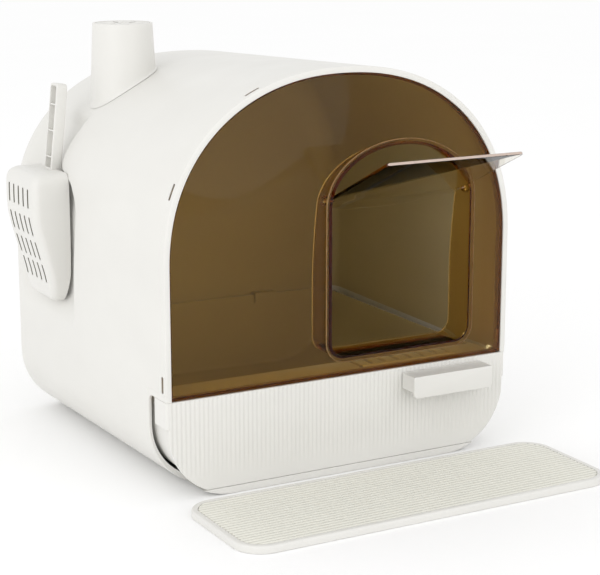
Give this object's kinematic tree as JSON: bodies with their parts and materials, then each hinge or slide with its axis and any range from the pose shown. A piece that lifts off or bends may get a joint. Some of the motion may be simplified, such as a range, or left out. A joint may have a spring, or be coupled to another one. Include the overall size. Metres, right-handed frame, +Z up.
{
  "type": "hooded cat litter box",
  "caption": "Arched cat litter box with tinted front, swinging door, litter drawer, roof deodoriser tower, hanging scoop and a ribbed mat.",
  "frame": {"origin": "middle of the housing floor's flat underside, on the surface that the box stands on", "axes": "+Z up, the tinted front and the drawer face -Y, +X to the right seen from the front"},
  "size_m": [0.4757, 0.5605, 0.4588],
  "materials": {
    "white_shell": "satin moulded, warm off-white",
    "tinted_plastic": "polished, translucent brown",
    "mat_ribs": "fine ribs, matt grey-beige",
    "carbon": "activated carbon fleece, matt black"
  },
  "bodies": {
    "housing": {"housing": "white_shell", "front_panel": "tinted_plastic", "door_collar": "tinted_plastic", "flap_bush_left": "tinted_plastic", "flap_bush_right": "tinted_plastic", "tower_body": "white_shell", "filter_basket": "white_shell", "carbon_filter": "carbon", "tower_ring": "white_shell", "scoop_hook": "white_shell"},
    "drawer": {"drawer_tray": "white_shell", "drawer_front": "white_shell", "drawer_handle": "white_shell", "entry_grate": "white_shell", "drawer_stop_left": "white_shell", "drawer_stop_right": "white_shell"},
    "flap": {"door_flap": "tinted_plastic"},
    "scoop": {"scoop": "white_shell"},
    "cap": {"vent_cap": "white_shell"},
    "mat": {"mat_base": "white_shell", "mat_pad": "mat_ribs"}
  },
  "joints": [
    {"name": "drawer_slide", "type": "slide", "parent": "housing", "child": "drawer", "axis": [0, -1, 0], "range_m": [0, 0.3]},
    {"name": "flap_hinge", "type": "hinge", "parent": "housing", "child": "flap", "pos_m": [0.068, -0.188, 0.292], "axis": [1, 0, 0], "range_deg": [0, 185]},
    {"name": "scoop_lift", "type": "slide", "parent": "housing", "child": "scoop", "axis": [0, 0, 1], "range_m": [0, 0.1]},
    {"name": "cap_twist", "type": "hinge", "parent": "housing", "child": "cap", "pos_m": [-0.121, 0.083, 0.452], "axis": [0, 0, 1], "range_deg": [0, 45]},
    {"name": "mat_slide", "type": "slide", "parent": "housing", "child": "mat", "axis": [0, -1, 0], "range_m": [0, 0.15]}
  ]
}
